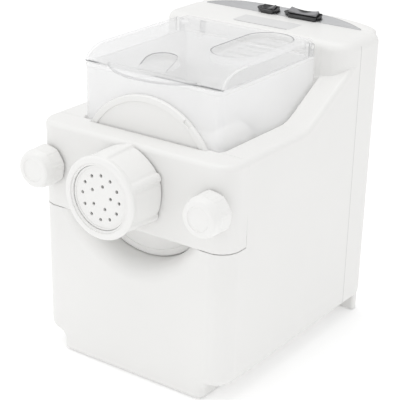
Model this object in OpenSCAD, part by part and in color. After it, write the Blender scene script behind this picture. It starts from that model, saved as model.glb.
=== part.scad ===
// Electric pasta maker: front extruding machine with a clear mixing bowl,
// a clamped front bar, a die held by a ring nut and a geared drive behind.
// X is left to right, Y runs from the die towards the back, Z is up.

/* [Body] */
// Width of the housing at the height of the arm tops
body_w = 220; // [216:0.5:226]
// Depth from the front face to the back at the height of the arm tops
body_d = 262; // [260:0.5:266]
// Height of the arm tops
arm_h = 233; // [231:0.5:235]
// Height of the tower top
tower_h = 299; // [298:0.5:301]
// Front plane of the tower
tower_y = 190; // [190:0.5:191]
// Radius of the upright corners
corner_r = 20; // [16:0.5:22]
// Wall of the housing shell
wall = 3; // [2.5:0.1:3.2]
// Height of the inset base
base_h = 17; // [15:0.5:18]
// Half width of the inset base
base_hw = 84; // [82:0.5:86]

/* [Front bar] */
// Lower edge of the front bar
bar_z = 150.7; // [149:0.1:152]
// Depth of the front bar
bar_d = 28; // [27.8:0.1:28]
// Side distance of the clamp studs from the middle
stud_x = 94.5; // [93:0.5:96]
// Height of the clamp studs
stud_z = 192; // [190:0.5:194]
// Radius of the clamp studs
stud_r = 4; // [3.5:0.1:4]
// Front radius of the clamp knobs
knob_r = 17; // [16:0.5:17.5]

/* [Extruder] */
// Height of the drive axis
axis_z = 193; // [193:0.1:193.2]
// Radius of the front disc
disc_r = 76.5; // [75:0.5:77]
// Outer radius of the extrusion tube
tube_r = 34; // [33.5:0.1:34]
// Inner radius of the extrusion tube
tube_ri = 27; // [26.5:0.1:28]
// Corner radius of the ring nut
nut_r = 41.5; // [41:0.1:42]
// Front plane of the ring nut, ahead of the housing front
nut_front = 43; // [43:0.1:43.5]
// Radius of the die
die_r = 33.2; // [32.5:0.1:33.4]
// Radius of each die hole
die_hole_r = 1.6; // [1:0.1:1.9]

/* [Bowl and lid] */
// Outer radius of the bowl trough
bowl_r = 77.5; // [76.5:0.1:77.5]
// Wall of the bowl
bowl_t = 2.5; // [2:0.1:2.6]
// Front plane of the bowl
bowl_y0 = 30; // [30:0.1:30.5]
// Back plane of the bowl
bowl_y1 = 187; // [186.5:0.1:187.2]
// Rim height of the bowl
rim_z = 286.6; // [286:0.1:286.6]
// Height of the lid top
lid_z = 301.5; // [301.3:0.1:302]

/* [Drive] */
// Teeth of the output gear
out_n = 59; // [59:1:59]
// Teeth of the idler pinion
idp_n = 16; // [16:1:16]
// Teeth of the idler gear
idg_n = 58; // [58:1:58]
// Teeth of the motor pinion
mot_n = 14; // [14:1:14]
// Module of the second stage
m2 = 1.75; // [1.75:0.05:1.75]
// Module of the first stage
m1 = 1.25; // [1.25:0.05:1.25]

/* [Hidden] */

e = 0.01;
y_mid = 109.78;
z0 = 1.5;
bar_gap = 0.4;
kx = 0.0135;
kf = 0.0101;
kr = 0.0087;
arm_in = 80;
arm_bend = 128;
slope_z = 266;
id_z = axis_z - m2*(out_n + idp_n)/2;
mo_z = id_z - m1*(idg_n + mot_n)/2;
pan_y = 249;
pan_z = tower_h;
pan_t = 30;
pan_l = 13.4;
ctl_s = 6.6;
pw_x = -20;
md_x = 22;
white = [0.94, 0.94, 0.93];
clear = [0.86, 0.9, 0.92, 0.35];
steel = [0.7, 0.71, 0.72];
dark = [0.2, 0.2, 0.21];

function hw(z) = body_w/2 + kx*(z - arm_h);
function yf(z) = kf*(z - arm_h);
function yr(z) = body_d + kr*(z - arm_h);
function arc(cx, cy, r, a0, a1, n) = [for (i = [0:n]) let (a = a0 + (a1 - a0)*i/n) [cx + r*cos(a), cy + r*sin(a)]];

module at() { translate([0, -y_mid, 0]) children(); }
module ycyl(r, ya, yb, x = 0, z = 0, fn = 64) {
  translate([x, yb, z]) rotate([90, 0, 0]) cylinder(r = r, h = yb - ya, $fn = fn);
}
module ycone(ra, rb, ya, yb, x = 0, z = 0, fn = 96) {
  translate([x, yb, z]) rotate([90, 0, 0]) cylinder(r1 = rb, r2 = ra, h = yb - ya, $fn = fn);
}
module xcyl(r, xa, xb, y = 0, z = 0, fn = 32) {
  translate([xa, y, z]) rotate([0, 90, 0]) cylinder(r = r, h = xb - xa, $fn = fn);
}
module box(a, b) { translate(a) cube(b - a); }
// Outline in the X-Z plane, pushed from ya to yb
module yext(ya, yb) { translate([0, yb, 0]) rotate([90, 0, 0]) linear_extrude(yb - ya) children(); }
// Outline in the Y-Z plane, pushed from xa to xb
module xext(xa, xb) { translate([xa, 0, 0]) rotate([90, 0, 90]) linear_extrude(xb - xa) children(); }
// One level of the body outline, shrunk by o, with its front edge at ya
module level(z, o, ya, r) {
  w = hw(z) - o;
  y1 = yr(z) - o;
  y0 = ya + o;
  rr = max(r - o, 1);
  translate([0, 0, z]) linear_extrude(e)
    union() {
      translate([-w + rr, y0]) square([2*(w - rr), y1 - y0]);
      translate([-w, y0 + rr]) square([2*w, y1 - y0 - 2*rr]);
      for (sx = [-1, 1], yy = [y0 + rr, y1 - rr]) translate([sx*(w - rr), yy]) circle(r = rr, $fn = 48);
    }
}
module body_hull(za, zb, o) {
  hull() {
    level(za, o, yf(za), corner_r);
    level(zb - e, o, yf(zb), corner_r);
  }
}
module tower_hull(za, zb, o, rt) {
  hull() {
    level(za, o, tower_y, 18);
    for (a = [0, 22.5, 45, 67.5, 90]) level(zb - rt + rt*sin(a) - e, o + rt*(1 - cos(a)), tower_y, 18);
  }
}
// Everything above the arms, lowered by o
module over_arms(o) {
  xext(-130, 130) polygon([[-20, arm_h - o], [arm_bend - 14, arm_h - o],
    [arm_bend - 5, arm_h + 1 - o], [arm_bend + 4, arm_h + 4.5 - o],
    [tower_y + 3, slope_z + 2 - o], [tower_y + 3, 340], [-20, 340]]);
}
// The air beside the inset base
module base_notch() {
  for (s = [-1, 1]) scale([s, 1, 1]) yext(-20, 290)
    polygon(concat([[base_hw - 2.5, z0 - 3], [base_hw - 2.5, z0]],
      arc(base_hw - 2.5, z0 + 2.5, 2.5, -90, 0, 4),
      arc(base_hw + 7, base_h - 7, 7, 180, 90, 6),
      arc(hw(27) - 10, base_h + 10, 10, -90, 0, 6),
      [[130, base_h + 10], [130, z0 - 3]]));
}
module trough(r, ya, yb, zt) {
  ycyl(r, ya, yb, 0, axis_z, 96);
  box([-r, ya, axis_z], [r, yb, zt]);
}
// Raised arch at the back of the tower top that carries the controls
module arch_outline(o) {
  polygon(concat([[-94 + o, 284], [94 - o, 284]],
    [for (i = [-12:12]) let (x = -i/12*(94 - o)) [x, tower_h - 1.8 - o*0.6 + 8.6*(1 - pow(x/94, 2))]]));
}
module rim_wedge(d) {
  xext(-100, 100) polygon([[pan_y - 4 + d, 284], [pan_y - 4 + d, pan_z - 3 - d],
    [pan_y + d*sin(pan_t), pan_z - d*cos(pan_t)],
    [pan_y + pan_l*cos(pan_t) + d*sin(pan_t), pan_z + pan_l*sin(pan_t) - d*cos(pan_t)],
    [yr(299) - 0.3 - d, pan_z + 6 - d], [yr(290) - 0.1 - d, 284]]);
}
// Places children on the tilted control surface at sideways place x
module on_panel(x) {
  translate([x, pan_y + ctl_s*cos(pan_t), pan_z + ctl_s*sin(pan_t)]) rotate([pan_t, 0, 0]) children();
}
module stadium(l, w, h) {
  union() {
    translate([-(l - w)/2, -w/2, 0]) cube([l - w, w, h]);
    for (s = [-1, 1]) translate([s*(l - w)/2, 0, 0]) cylinder(r = w/2, h = h, $fn = 48);
  }
}

// Upright well for a switch of length l at sideways place x
module switch_well(x, l) {
  box([x - l/2, 249.9, 280], [x + l/2, 258.8, 320]);
}

module housing() {
  color(white) at() difference() {
    union() {
      difference() {
        body_hull(z0, 275, 0);
        over_arms(0);
        base_notch();
      }
      tower_hull(180, tower_h, 0, 8);
      intersection() { yext(240, 270) arch_outline(0); rim_wedge(0); }
    }
    // hollow inside
    difference() {
      union() {
        difference() {
          body_hull(z0 + 6, 272, wall);
          over_arms(wall);
        }
        tower_hull(178, tower_h - wall, wall, 6);
      }
      box([-arm_in - wall, -10, axis_z], [arm_in + wall, tower_y + wall, 330]);
      ycyl(arm_in + wall, -10, tower_y + wall, 0, axis_z, 96);
      box([-130, -10, bar_z - wall - 1], [130, bar_d + bar_gap + wall, 330]);
      ycyl(94, -10, bar_d + bar_gap + wall, 0, axis_z, 96);
      for (s = [-1, 1]) scale([s, 1, 1]) box([base_hw - wall, -10, -1], [130, 290, base_h + wall]);
      for (s = [-1, 1]) {
        ycyl(9, 20, 60, s*stud_x, stud_z, 48);
        for (zz = [70, 245]) ycyl(6, 190, 199, s*66, zz, 40);
      }
      // ribs that tie the screw posts to the side walls
      for (s = [-1, 1]) scale([s, 1, 1]) box([66, 190, 68.5], [112, 199, 71.5]);
      for (s = [-1, 1], yy = [24, 240]) {
        translate([s*70, yy, 0]) cylinder(r = 5, h = 22, $fn = 40);
        scale([s, 1, 1]) box([70, yy - 1.5, 0], [base_hw, yy + 1.5, 22]);
      }
    }
    // room for the base plate
    box([-base_hw + wall, 2, 0], [base_hw - wall, 257, z0 + 6.5]);
    // bowl well, open at the top
    trough(arm_in, bar_d + bar_gap, tower_y, 340);
    // place of the front bar
    box([-130, -10, bar_z - bar_gap], [130, bar_d + bar_gap, 340]);
    // scoop around the front disc
    ycyl(79, 5, bar_d + 3, 0, axis_z, 96);
    translate([0, 0, axis_z]) rotate([90, 0, 0]) rotate_extrude($fn = 96)
      polygon(concat([[0, -16], [79, -16]], [for (i = [0:8]) let (a = i*11.25) [79 + 11*(1 - cos(a)), -16 + 16*sin(a)]], [[90, 6], [0, 6]]));
    // bores for the clamp studs
    for (s = [-1, 1]) ycyl(stud_r, 20, 62, s*stud_x, stud_z, 48);
    // gearbox screw holes
    for (s = [-1, 1], zz = [70, 245]) ycyl(1.6, 192, 200, s*66, zz, 24);
    // opening for the back cover
    yext(250, 300) polygon([[-90, 24], [90, 24], [90, 278], [-90, 278]]);
    // drive shaft and interlock openings in the front wall of the tower
    ycyl(22, 180, 200, 0, axis_z, 64);
    box([-62.4, 180, 284.2], [-54.9, 200, 295.8]);
    // seat of the grey label
    box([-31.4, 206.4, tower_h - 0.8], [31.4, 231.6, tower_h + 5]);
    // wells for the two switches
    switch_well(pw_x, 18.8);
    switch_well(md_x, 35.8);
    on_panel(pw_x) translate([-8.6, -3.8, -4.8]) cube([17.2, 7.6, 30]);
    on_panel(md_x) translate([-17.3, -4.3, -4.8]) cube([34.6, 8.6, 30]);
    // seat of the silver control panel
    intersection() { yext(240, 270) arch_outline(1.4); xext(-100, 100) polygon([[pan_y + 0.5, pan_z - 0.72],
      [pan_y + pan_l*cos(pan_t) - 0.6, pan_z + pan_l*sin(pan_t) - 1.36], [pan_y + pan_l*cos(pan_t) - 4, pan_z + 12], [pan_y - 2, pan_z + 4]]); }
    // screw pilot holes underneath
    for (s = [-1, 1], yy = [24, 240]) translate([s*70, yy, 0]) cylinder(r = 1.6, h = 18, $fn = 24);
  }
}
module base_plate() {
  color(white) at() difference() {
    box([-base_hw + wall + 0.3, 2.3, z0], [base_hw - wall - 0.3, 256.7, z0 + 3]);
    for (i = [-5:5], j = [0:2]) box([i*10 - 1.8, 96 + j*26, -1], [i*10 + 1.8, 116 + j*26, 20]);
    for (s = [-1, 1], yy = [24, 240]) translate([s*70, yy, 0]) cylinder(r = 2, h = 18, $fn = 24);
    for (s = [-1, 1], yy = [42, 222]) translate([s*70, yy, 0]) cylinder(r = 5, h = 18, $fn = 40);
  }
}
module rear_cover() {
  color(white) at() difference() {
    union() {
      hull() {
        translate([0, yr(24) - 2.6, 0]) box([-89.7, 0, 24.3], [89.7, 2.6, 24.4]);
        translate([0, yr(278) - 2.6, 0]) box([-89.7, 0, 277.6], [89.7, 2.6, 277.7]);
      }
    }
    for (i = [0:10]) box([-35, 250, 90 + i*7], [35, 275, 93 + i*7]);
    ycyl(7.5, 240, 280, 60, 48, 48);
    for (s = [-1, 1], zz = [32, 270]) ycyl(2, 240, 280, s*82, zz, 24);
  }
}
module rubber_feet() {
  color([0.16, 0.16, 0.17]) at() for (s = [-1, 1], yy = [42, 222]) translate([s*70, yy, 0]) union() {
    cylinder(r = 8, h = z0, $fn = 48);
    cylinder(r = 5, h = z0 + 3, $fn = 48);
    translate([0, 0, z0 + 3]) cylinder(r = 6, h = 1.5, $fn = 48);
  }
}
module front_bar() {
  color(white) at() difference() {
    intersection() {
      body_hull(100, 275, 0);
      box([-130, -10, bar_z], [130, bar_d, arm_h]);
    }
    difference() {
      intersection() {
        body_hull(100, 275, wall);
        box([-130, -10, bar_z + wall], [130, bar_d + 10, arm_h - wall]);
      }
      for (s = [-1, 1]) ycyl(9, -10, 40, s*stud_x, stud_z, 48);
      ycyl(41, -10, 40, 0, axis_z, 96);
      for (x = [-60, 60]) box([x - 1.2, -10, bar_z], [x + 1.2, 20, arm_h]);
    }
    // room for the disc behind the bar and for the tube through it
    ycyl(disc_r + 0.6, 24.6, 40, 0, axis_z, 96);
    ycyl(tube_r + 1.2, -10, 40, 0, axis_z, 96);
    for (s = [-1, 1]) ycyl(stud_r + 0.4, -10, 40, s*stud_x, stud_z, 48);
  }
}
module clamp_studs() {
  color(steel) at() for (s = [-1, 1]) union() {
    ycyl(stud_r, -17, 52, s*stud_x, stud_z, 48);
    ycyl(7, 60, 63.2, s*stud_x, stud_z, 6);
    ycyl(stud_r, 51, 61, s*stud_x, stud_z, 48);
  }
}
module washer(s) {
  color([0.85, 0.85, 0.84]) at() difference() {
    ycyl(10, -1.8, -0.5, s*stud_x, stud_z, 48);
    ycyl(stud_r + 0.06, -5, 5, s*stud_x, stud_z, 48);
  }
}
module washer_left() { washer(-1); }
module washer_right() { washer(1); }
module knob(s) {
  color(white) at() translate([s*stud_x, 0, stud_z]) difference() {
    union() {
      translate([0, -2.1, 0]) rotate([90, 0, 0]) linear_extrude(17)
        polygon([for (i = [0:119]) let (a = i*3) (knob_r + 2.4 + 1.1*cos(8*a))*[cos(a), sin(a)]]);
      ycone(knob_r - 1.5, knob_r + 1.6, -25, -19, 0, 0, 64);
    }
    ycyl(11, -27, -24.2, 0, 0, 64);
    ycyl(11, -3.4, -1, 0, 0, 64);
    ycyl(7, -19.5, -1, 0, 0, 48);
  }
}
module knob_left() { knob(-1); }
module knob_right() { knob(1); }
module insert(s) {
  color([0.8, 0.66, 0.35]) at() translate([s*stud_x, 0, stud_z]) difference() {
    ycyl(7, -19.5, -4, 0, 0, 48);
    ycyl(stud_r + 0.06, -18.5, 0, 0, 0, 48);
  }
}
module knob_insert_left() { insert(-1); }
module knob_insert_right() { insert(1); }

module front_disc() {
  color(white) at() difference() {
    union() {
      difference() {
        ycyl(disc_r, 25, 29.6, 0, axis_z, 128);
        ycyl(disc_r - 6, 24, 26, 0, axis_z, 96);
        translate([0, 0, axis_z]) rotate([0, 37, 0]) box([-4, 24, disc_r - 3], [4, 27, disc_r + 3]);
      }
      ycyl(67.4, 29.5, 34, 0, axis_z, 96);
      ycyl(tube_r, -34.8, 28, 0, axis_z, 96);
    }
    ycyl(tube_ri, -40, 40, 0, axis_z, 96);
    ycone(tube_ri - 0.5, 62, 29.6, 34.2, 0, axis_z, 96);
  }
}
module disc_seal() {
  color([0.75, 0.76, 0.77]) at() difference() {
    ycyl(67.9, 29.6, 33.2, 0, axis_z, 96);
    ycyl(67.4, 20, 40, 0, axis_z, 96);
  }
}
module die() {
  color(white) at() difference() {
    union() {
      ycyl(die_r, -39.4, -35, 0, axis_z, 96);
      ycyl(29.3, -40.2, -38, 0, axis_z, 96);
    }
    ycyl(28, -42, -39.6, 0, axis_z, 96);
    ycyl(25, -36.5, -30, 0, axis_z, 96);
    for (i = [0:11]) let (a = 88.3 - i*30) ycyl(die_hole_r, -50, -30, 20.74*cos(a), axis_z + 20.74*sin(a), 20);
    for (i = [0:4]) let (a = 78 - i*72) ycyl(die_hole_r, -50, -30, 11*cos(a), axis_z + 11*sin(a), 20);
  }
}
module die_nut() {
  color(white) at() translate([0, 0, axis_z]) difference() {
    union() {
      translate([0, -1.6, 0]) rotate([90, 0, 0]) linear_extrude(35) nut_outline(0);
      ycone(37.5, 38.6, -nut_front, -36, 0, 0, 96);
    }
    ycyl(tube_r + 0.4, -34.8, 1, 0, 0, 96);
    ycyl(die_r + 0.3, -39.7, -34, 0, 0, 96);
    ycyl(29.9, -60, -38, 0, 0, 96);
    ycone(32.2, 29.9, -nut_front - e, -41, 0, 0, 96);
  }
}
module nut_outline(o) {
  polygon([for (i = [0:179]) let (a = i*2, c = abs(((a + 5) % 60) - 30)/30)
    (nut_r - o - 3.0*(1 - pow(1 - c, 2)) - 0.0)*[cos(a), sin(a)]]);
}
module mixing_bowl() {
  color(clear) at() difference() {
    union() {
      trough(bowl_r, bowl_y0, bowl_y1, rim_z);
      for (s = [-1, 1]) scale([s, 1, 1]) {
        xcyl(4, bowl_r - bowl_t, bowl_r, 179.5, 295, 40);
        box([bowl_r - bowl_t, 175.5, 280], [bowl_r, 183.5, 295]);
      }
      ycyl(20, bowl_y1 - e, 189.4, 0, axis_z, 64);
    }
    intersection() {
      trough(bowl_r - bowl_t, bowl_y0 + bowl_t, bowl_y1 - bowl_t, 340);
      box([-bowl_r + bowl_t, 0, 0], [bowl_r - bowl_t, 300, 340]);
    }
    box([-bowl_r - 1, bowl_y1 - bowl_t - 0.5, 284.6], [bowl_r + 1, bowl_y1 + 3, 340]);
    box([-62.6, 180, 281], [-54.9, 195, 340]);
    ycyl(68, bowl_y0 - 5, bowl_y0 + 10, 0, axis_z, 96);
    ycyl(11, 170, 200, 0, axis_z, 64);
    for (s = [-1, 1]) scale([s, 1, 1]) xcyl(2, 60, 90, 179.5, 295, 32);
  }
}
module shaft_seal() {
  color([0.25, 0.25, 0.26]) at() difference() {
    union() {
      ycyl(11, 181.5, 189.4, 0, axis_z, 64);
      ycyl(13.5, 181.5, bowl_y1 - bowl_t, 0, axis_z, 64);
    }
    ycyl(6.06, 170, 200, 0, axis_z, 48);
  }
}
module lid_profile(o) {
  polygon(concat(
    [[186 - o, 287.2], [186 - o, lid_z - 3]],
    arc(183 - o, lid_z - 3 - o, 3, 0, 90, 4),
    [for (i = [0:10]) let (a = 90 + i*8.2) [62 + 29*cos(a)*(1 - o/29), lid_z - 13.6 - o + (13.6)*sin(a)]],
    [[32 + o, 287.2]]));
}
module lid() {
  color(clear) at() difference() {
    union() {
      difference() {
        xext(-78.5, 78.5) lid_profile(0);
        xext(-76.3, 76.3) translate([0, -e]) lid_profile(2.2);
        for (s = [-1, 1]) scale([s, 1, 1]) box([74.5, 172.5, 280], [90, 200, 320]);
      }
      // pour recess
      difference() {
        translate([41.5, 132, 293.5]) rotate([0, 0, 90]) stadium(102, 50, lid_z - 293.6);
        translate([41.5, 132, 295.5]) rotate([0, 0, 90]) stadium(98, 46, 20);
      }
      // curved lip at the front
      intersection() {
        translate([0, 83, 287.2]) cylinder(r = 71, h = 2.2, $fn = 128);
        box([-60, 0, 280], [60, 36, 295]);
      }
      // hinge knuckles, rear end walls and interlock finger
      for (s = [-1, 1]) scale([s, 1, 1]) {
        box([67, 176, 292], [74.3, 183, lid_z - 2]);
        box([74.3 - 2, 172.5, 287.2], [74.3, 176.5, lid_z - 2]);
      }
      box([-61.5, 183.5, 290.5], [-56, 192.5, 294.5]);
    }
    translate([41.5, 132, 295.5]) rotate([0, 0, 90]) stadium(98, 46, 20);
    for (i = [-2:2]) box([24, 108 + i*14 + 22, 290], [59, 111 + i*14 + 22, 300]);
    for (s = [-1, 1]) scale([s, 1, 1]) xcyl(2.06, 60, 90, 179.5, 295, 32);
  }
}
module hinge_pins() {
  color(steel) at() for (s = [-1, 1]) scale([s, 1, 1]) xcyl(2, 66.8, bowl_r, 179.5, 295, 32);
}

module auger() {
  color(white) at() union() {
    ycyl(8, -28, 33, 0, axis_z, 48);
    ycone(3, 8, -33, -28, 0, axis_z, 48);
    translate([0, 30, axis_z]) rotate([90, 0, 0])
      linear_extrude(height = 56, twist = -720, slices = 64)
        polygon(concat([for (i = [0:6]) let (a = -13 + i*26/6) 24.5*[cos(a), sin(a)]],
          [for (i = [0:4]) let (a = 40 + i*70) 7*[cos(a), sin(a)]]));
  }
}
module mixing_paddle() {
  color(white) at() difference() {
    union() {
      ycyl(13, 37, 178, 0, axis_z, 64);
      for (i = [0:4]) translate([0, 52 + i*28, axis_z]) rotate([0, 90 + i*180 + (i - 2)*8, 0]) {
        box([-5, -5, 0], [5, 5, 58]);
        translate([0, 0, 56]) rotate([0, 0, 24]) box([-13, -3, 0], [13, 3, 10]);
      }
    }
    translate([0, 179, axis_z]) rotate([90, 0, 0]) cylinder(r = 6.4, h = 52, $fn = 6);
    ycyl(8, 36, 41, 0, axis_z, 48);
  }
}
module output_shaft() {
  color(steel) at() union() {
    ycyl(6, 178.2, 247.6, 0, axis_z, 48);
    translate([0, 179, axis_z]) rotate([90, 0, 0]) cylinder(r = 5.9, h = 44, $fn = 6);
  }
}
function inv(a) = tan(a)*180/PI - a;
module gear2d(n, m, ad, de, bl) {
  rp = m*n/2;
  rb = rp*cos(20);
  rt = rp + ad*m;
  rr = rp - de*m;
  th0 = 90/n + inv(20) - bl/2/rp*180/PI;
  polygon([for (i = [0:n - 1]) each let (c = i*360/n, ra = max(rb, rr + 0.05)) concat(
      [let (a = c - 180/n) rr*[cos(a), sin(a)]],
      [let (a = c - th0*1.06 - 0.2) rr*[cos(a), sin(a)]],
      [for (k = [0:4]) let (r = ra + (rt - ra)*k/4, a = c - (th0 - inv(acos(min(1, rb/r))))) r*[cos(a), sin(a)]],
      [for (k = [4:-1:0]) let (r = ra + (rt - ra)*k/4, a = c + (th0 - inv(acos(min(1, rb/r))))) r*[cos(a), sin(a)]],
      [let (a = c + th0*1.06 + 0.2) rr*[cos(a), sin(a)]])]);
}
module gear(n, m, ya, yb, z, rot, bore) {
  translate([0, yb, z]) rotate([90, 0, 0]) linear_extrude(yb - ya)
    difference() {
      rotate(rot) gear2d(n, m, 0.9, 1.2, 0.16);
      circle(r = bore, $fn = 48);
    }
}
module output_gear() {
  color([0.9, 0.89, 0.84]) at() difference() {
    union() {
      gear(out_n, m2, 206, 218, axis_z, -90, 6);
      difference() { ycyl(14, 204.2, 240, 0, axis_z, 48); ycyl(6, 200, 250, 0, axis_z, 48); }
    }
    for (i = [0:5]) ycyl(11, 200, 230, 31*cos(i*60), axis_z + 31*sin(i*60), 40);
  }
}
module idler_gear() {
  color([0.9, 0.89, 0.84]) at() difference() {
    gear(idg_n, m1, 224, 234, id_z, -90, 5.06);
    for (i = [0:4]) ycyl(7, 220, 240, 22*cos(i*72), id_z + 22*sin(i*72), 40);
  }
}
module idler_pinion() {
  color(steel) at() union() {
    gear(idp_n, m2, 204.5, 223.99, id_z, 90 + 180/idp_n, 5.06);
  }
}
module idler_shaft() {
  color(steel) at() ycyl(5, 199, 250.4, 0, id_z, 48);
}
module plate_outline() {
  union() {
    translate([-62, 62]) square([124, 192]);
    for (s = [-1, 1], zz = [70, 245]) translate([s*66, zz]) circle(r = 7, $fn = 32);
    translate([-14, 46]) square([28, 20]);
  }
}
module gearbox_front_plate() {
  color(steel) at() difference() {
    yext(199, 202) plate_outline();
    ycyl(10, 190, 210, 0, axis_z, 48);
    ycyl(5, 190, 210, 0, id_z, 48);
    ycyl(9, 190, 210, 0, mo_z, 48);
    for (s = [-1, 1], zz = [70, 245]) ycyl(1.9, 190, 210, s*66, zz, 24);
  }
}
module gearbox_rear_plate() {
  color(steel) at() difference() {
    yext(247.4, 250.4) plate_outline();
    ycyl(10, 240, 260, 0, axis_z, 48);
    ycyl(5, 240, 260, 0, id_z, 48);
    ycyl(9, 240, 260, 0, mo_z, 48);
    for (s = [-1, 1], zz = [70, 245]) ycyl(1.9, 240, 260, s*66, zz, 24);
  }
}
module gearbox_spacers() {
  color(steel) at() for (s = [-1, 1], zz = [70, 245]) difference() {
    ycyl(5, 202, 247.4, s*66, zz, 6);
    ycyl(1.9, 190, 260, s*66, zz, 24);
  }
}
module shaft_bushes() {
  color([0.75, 0.6, 0.32]) at() {
    for (yy = [196, 247.4]) difference() {
      union() { ycyl(10, yy, yy + (yy < 200 ? 8 : 3), 0, axis_z, 48); ycyl(12, yy - (yy < 200 ? 0 : 1.5), yy + (yy < 200 ? 3 : 0), 0, axis_z, 48); }
      ycyl(6.06, 190, 260, 0, axis_z, 48);
    }
    for (yy = [197.5, 247.4]) difference() {
      ycyl(9, yy, yy + (yy < 200 ? 6 : 3), 0, mo_z, 48);
      ycyl(4.06, 190, 260, 0, mo_z, 48);
    }
  }
}
module motor_stator() {
  color([0.45, 0.46, 0.48]) at() difference() {
    translate([0, 158, mo_z]) rotate([90, 0, 0]) linear_extrude(50) difference() {
      union() { square([50, 42], center = true); square([42, 50], center = true);
        for (a = [0:3]) rotate(a*90) translate([21, 21]) circle(r = 4, $fn = 32); }
      circle(r = 15, $fn = 64);
      for (s = [-1, 1]) translate([0, s*15]) square([20, 12], center = true);
    }
    for (a = [0:3]) ycyl(1.7, 90, 170, 21*cos(45 + a*90)*1.36, mo_z + 21*sin(45 + a*90)*1.36, 24);
  }
}
module motor_coils() {
  color([0.72, 0.42, 0.24]) at() for (s = [-1, 1]) difference() {
    box([-9.5, 100, mo_z + s*17.8 - 2.9], [9.5, 166, mo_z + s*17.8 + 2.9]);
    box([-5, 104, mo_z + s*17.8 - 5], [5, 162, mo_z + s*17.8 + 5]);
  }
}
module motor_brackets() {
  color([0.6, 0.61, 0.63]) at() {
    for (yy = [[92, 95, 108], [181, 184, 158]]) difference() {
      union() {
        box([-25, yy[0], mo_z - 9], [25, yy[1], mo_z + 9]);
        ycyl(9, yy[0] - 2, yy[1] + 2, 0, mo_z, 48);
        for (sx = [-1, 1], sz = [-1, 1]) ycyl(3.4, min(yy[2], yy[0]), max(yy[2], yy[1]), sx*20.2, mo_z + sz*20.2, 32);
        for (sx = [-1, 1]) box([sx*21.5 - 3.5, yy[0], mo_z - 20], [sx*21.5 + 3.5, yy[1], mo_z + 20]);
      }
      ycyl(4.06, 80, 190, 0, mo_z, 48);
    }
  }
}
module motor_rotor() {
  color([0.5, 0.5, 0.52]) at() difference() {
    union() {
      ycyl(14.4, 108, 158, 0, mo_z, 64);
      ycyl(12, 100, 164, 0, mo_z, 48);
      ycyl(9, 164, 176, 0, mo_z, 48);
    }
    ycyl(4, 80, 190, 0, mo_z, 48);
    for (i = [0:11]) ycyl(1.1, 107, 159, 13.6*cos(i*30), mo_z + 13.6*sin(i*30), 16);
  }
}
module motor_shaft() {
  color(steel) at() ycyl(4, 78, 250.2, 0, mo_z, 48);
}
module motor_pinion() {
  color([0.75, 0.62, 0.35]) at() gear(mot_n, m1, 222, 236, mo_z, 90 + 180/mot_n, 4);
}
module motor_fan() {
  color(dark) at() difference() {
    union() {
      ycyl(7, 78, 88, 0, mo_z, 48);
      ycyl(23, 86, 88, 0, mo_z, 64);
      for (i = [0:8]) translate([0, 0, mo_z]) rotate([0, i*40, 0]) box([-0.8, 79, 6], [0.8, 87, 22.5]);
    }
    ycyl(4, 70, 95, 0, mo_z, 48);
  }
}
module motor_mounts() {
  color([0.2, 0.2, 0.21]) at() for (yy = [114, 144]) difference() {
    union() {
      box([-22, yy, z0 + 3], [22, yy + 8, mo_z - 25]);
      box([-30, yy - 4, z0 + 3], [30, yy + 12, z0 + 6]);
      for (s = [-1, 1]) box([s*27 - 2, yy, z0 + 3], [s*27 + 2, yy + 8, mo_z - 18]);
    }
    box([-14, yy - 5, 14], [14, yy + 13, mo_z - 33]);
  }
}
module control_panel() {
  color([0.72, 0.73, 0.74]) at() difference() {
    intersection() {
      yext(240, 270) arch_outline(1.7);
      xext(-100, 100) polygon([[pan_y + 0.7, pan_z - 0.6], [pan_y + pan_l*cos(pan_t) - 0.9, pan_z + pan_l*sin(pan_t) - 1.53],
        [pan_y + pan_l*cos(pan_t) - 1.5, pan_z + pan_l*sin(pan_t) - 0.35], [pan_y + 0.1, pan_z + 0.6]]);
    }
    switch_well(pw_x, 18.8);
    switch_well(md_x, 35.8);
  }
}
module label_plate() {
  color([0.85, 0.86, 0.86]) at() box([-31, 206.8, tower_h - 0.8], [31, 231.2, tower_h + 0.1]);
}
module switch_body(x, l, w, li, wi, c) {
  color(c) at() difference() {
    union() {
      on_panel(x) translate([0, 0, 0.75]) stadium(l, w, 2);
      difference() {
        box([x - l/2 + 2.2, 250, 286], [x + l/2 - 2.2, 258.7, 310]);
        on_panel(x) translate([-l, -20, 1]) cube([2*l, 40, 30]);
      }
    }
    on_panel(x) translate([-li/2, -wi/2, -4.8]) cube([li, wi, 30]);
  }
}
module power_switch_body() { switch_body(pw_x, 23, 12.2, 17.2, 7.6, dark); }
module mode_switch_body() { switch_body(md_x, 40, 13.2, 34.6, 8.6, dark); }
module rocker(x, r, w, h, tilt) {
  color([0.26, 0.26, 0.27]) at() on_panel(x) rotate([0, tilt, 0]) intersection() {
    translate([0, w/2, -1]) rotate([90, 0, 0]) cylinder(r = r, h = w, $fn = 96);
    translate([0, w/2, 0]) rotate([90, 0, 0]) linear_extrude(w)
      polygon(concat([[r, -1.2], [-r, -1.2]], [for (i = [0:12]) let (t = -1 + i/6) [t*r, h*(0.62 + 0.38*t*t)]]));
  }
}
module power_rocker() { rocker(pw_x, 8.1, 6.8, 5.2, -9); }
module mode_rocker() { rocker(md_x, 16.6, 7.8, 7.2, 0); }
module control_board() {
  color([0.12, 0.36, 0.2]) at() difference() {
    box([-30, 204, 262], [70, 244, 263.6]);
    for (x = [-26, 66], yy = [208, 240]) translate([x, yy, 250]) cylinder(r = 1.6, h = 30, $fn = 24);
  }
}
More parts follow.
